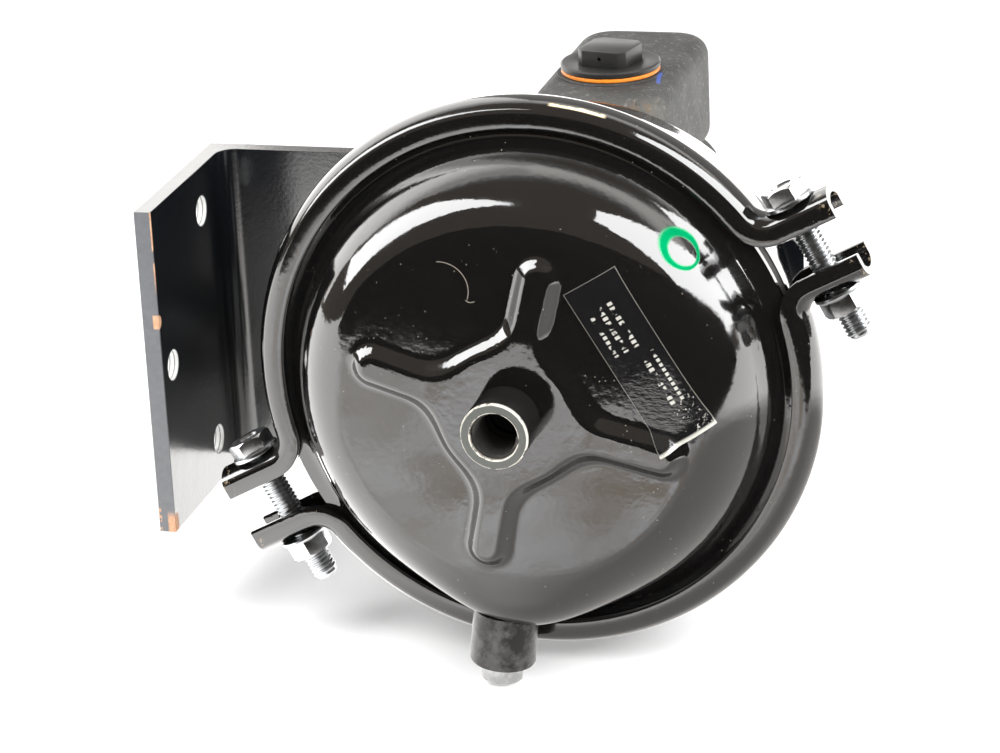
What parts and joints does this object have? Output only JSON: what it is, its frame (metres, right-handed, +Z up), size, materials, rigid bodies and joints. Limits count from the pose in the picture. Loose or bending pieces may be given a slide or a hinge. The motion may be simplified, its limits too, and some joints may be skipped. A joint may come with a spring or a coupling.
{
  "type": "air-over-hydraulic brake actuator",
  "caption": "Air-over-hydraulic brake actuator: clamped air chamber on a steel angle bracket, with a hydraulic cylinder and fluid reservoir behind it.",
  "frame": {"origin": "on the outer mounting face of the bracket's side leg, midway between its two rear bolt holes", "axes": "+X from that mounting face across to the chamber, +Y backwards along the chamber axis from the air inlet to the hydraulic end, +Z up, with the filler cap on top"},
  "size_m": [0.2691, 0.3045, 0.2124],
  "materials": {
    "chamber_paint": "gloss black paint over pressed steel, with fine orange peel and small scratches",
    "clamp_paint": "gloss black paint over pressed steel",
    "bracket_paint": "black paint over thick steel, chipped at the edges",
    "boss_steel": "black paint worn bright at the mouth",
    "zinc": "bright zinc plate",
    "zinc_yellow": "yellow zinc plate",
    "rubber": "moulded black rubber",
    "pressed_steel": "bare steel",
    "spring_steel": "oiled spring steel",
    "gasket": "compressed fibre gasket",
    "casting": "rough grey-black casting",
    "bronze": "sintered bronze",
    "piston_metal": "machined aluminium",
    "seal_orange": "orange silicone rubber",
    "cap_plastic": "moulded black plastic",
    "sticker": "thin black vinyl with a worn end"
  },
  "bodies": {
    "actuator": {"pressure_housing": "chamber_paint", "centre_port_boss": "boss_steel", "side_port_boss": "boss_steel", "side_port_plug": "zinc", "rear_housing": "chamber_paint", "clamp_upper": "clamp_paint", "clamp_lower": "clamp_paint", "clamp_bolts": "zinc", "clamp_nuts": "zinc", "diaphragm": "rubber", "return_spring": "spring_steel", "mounting_studs": "zinc_yellow", "stud_washers": "zinc", "stud_nuts": "zinc", "bracket": "bracket_paint", "flange_gasket": "gasket", "cylinder_casting": "casting", "reservoir_casting": "casting", "rod_guide": "bronze", "rod_wiper": "rubber", "snap_ring": "spring_steel", "stop_washer": "zinc", "piston_spring": "spring_steel", "outlet_seat": "bronze", "label": "sticker"},
    "rod": {"push_plate": "pressed_steel", "push_rod": "pressed_steel", "piston": "piston_metal", "secondary_cup": "rubber", "primary_cup": "rubber", "spring_retainer": "pressed_steel"},
    "cap_carrier": {"cap_seal": "seal_orange"},
    "cap": {"filler_cap": "cap_plastic", "cap_baffle": "pressed_steel"},
    "bleeder": {"bleed_screw": "zinc"},
    "bleeder_dust_cap": {"bleed_cap": "rubber"}
  },
  "joints": [
    {"name": "rod_stroke", "type": "slide", "parent": "actuator", "child": "rod", "axis": [0, 1, 0], "range_m": [0, 0.0635], "stiffness_N_per_m": 400, "springref_m": -0.25, "deforming": ["diaphragm", "return_spring", "piston_spring"]},
    {"name": "cap_lift", "type": "slide", "parent": "actuator", "child": "cap_carrier", "axis": [0, 0, 1], "range_m": [0, 0.0121]},
    {"name": "cap_turn", "type": "hinge", "parent": "cap_carrier", "child": "cap", "pos_m": [0.14845, 0.072, 0.0841], "axis": [0, 0, 1], "range_deg": [0, 2160]},
    {"name": "bleeder_turn", "type": "hinge", "parent": "actuator", "child": "bleeder", "pos_m": [0.14845, 0.16655, 0.0385], "axis": [0, 0, 1], "range_deg": [0, 180]},
    {"name": "dust_cap_pull", "type": "slide", "parent": "bleeder", "child": "bleeder_dust_cap", "axis": [0, 0, 1], "range_m": [0, 0.02]}
  ],
  "couplings": [
    {"joint": "cap_lift", "follows": "cap_turn", "m_per_rad": 0.00031831}
  ]
}
